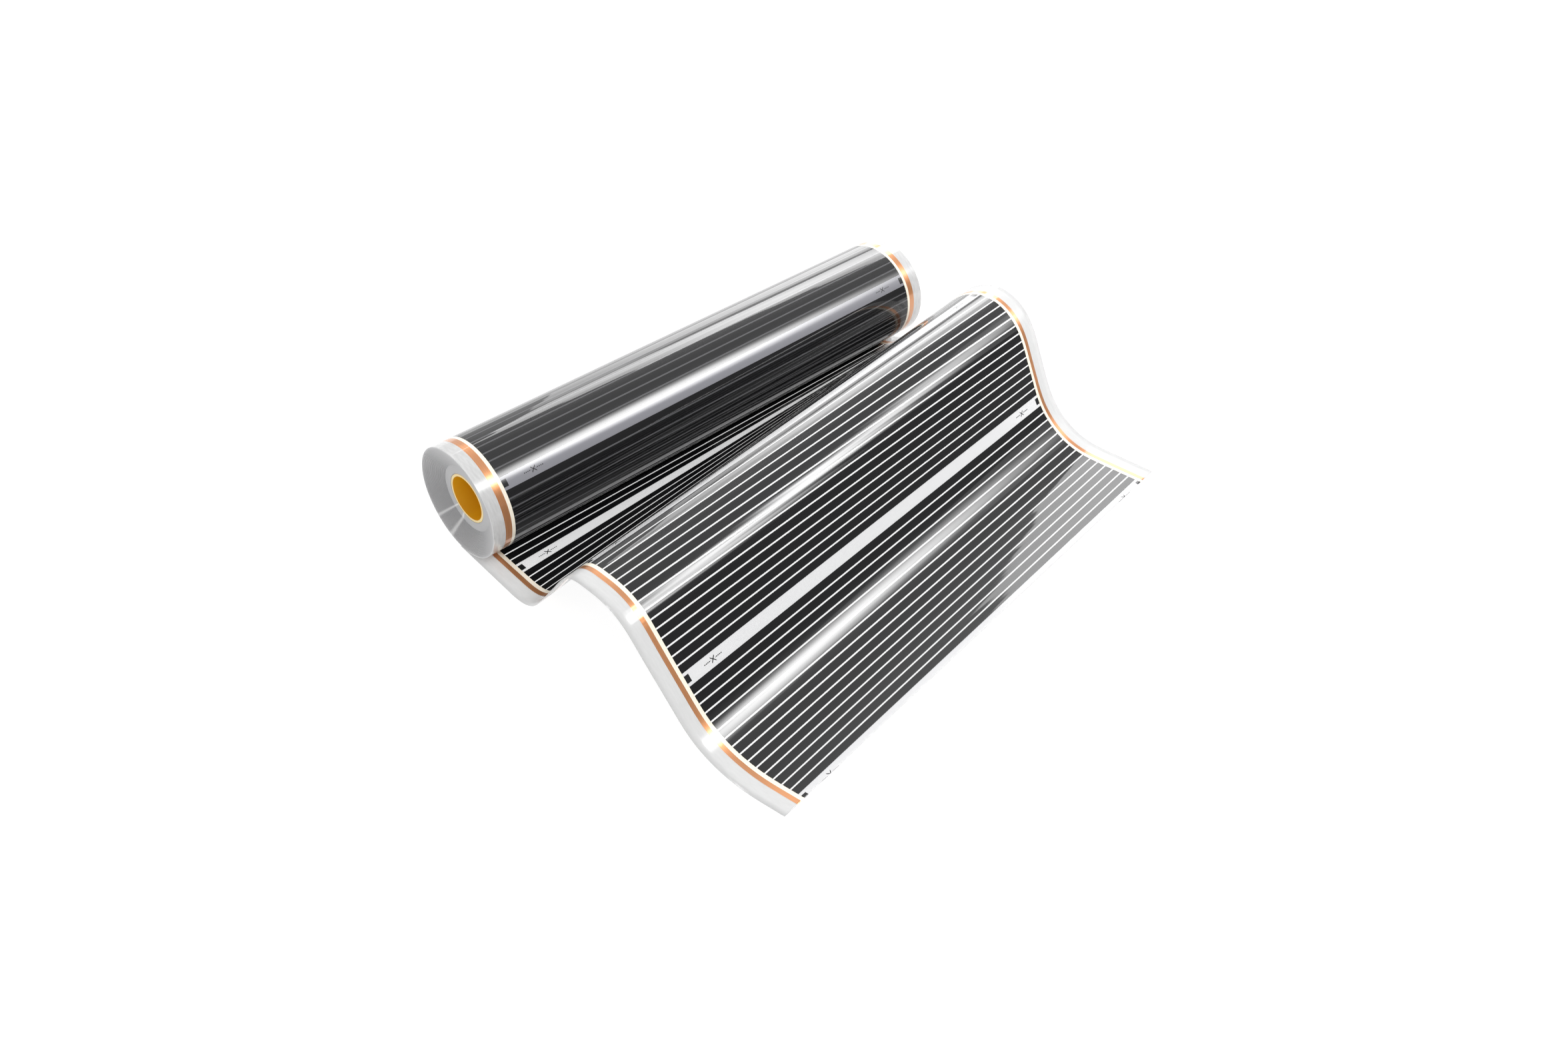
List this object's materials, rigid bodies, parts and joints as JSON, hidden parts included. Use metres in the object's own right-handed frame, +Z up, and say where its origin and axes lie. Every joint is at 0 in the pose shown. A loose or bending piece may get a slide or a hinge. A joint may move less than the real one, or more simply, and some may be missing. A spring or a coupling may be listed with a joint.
{
  "type": "infrared heating film roll",
  "caption": "Roll of printed carbon heating film on a hollow core tube, with a loose length pulled out in a low hump before its cut end.",
  "frame": {"origin": "on the floor, below the middle of the bounding box of the roll and its loose length", "axes": "+Y along the roll, away from the end whose outer turns stand out; +X towards the cut end of the loose length; +Z up"},
  "size_m": [0.7976, 1.031, 0.236],
  "materials": {
    "laminated_film": "clear glossy laminate over near-black printed carbon strips, with copper busbars along both edges",
    "core_tube": "amber yellow tube, slightly waxy"
  },
  "bodies": {
    "root": {"heating_film": "laminated_film", "core_tube": "core_tube"}
  },
  "joints": []
}
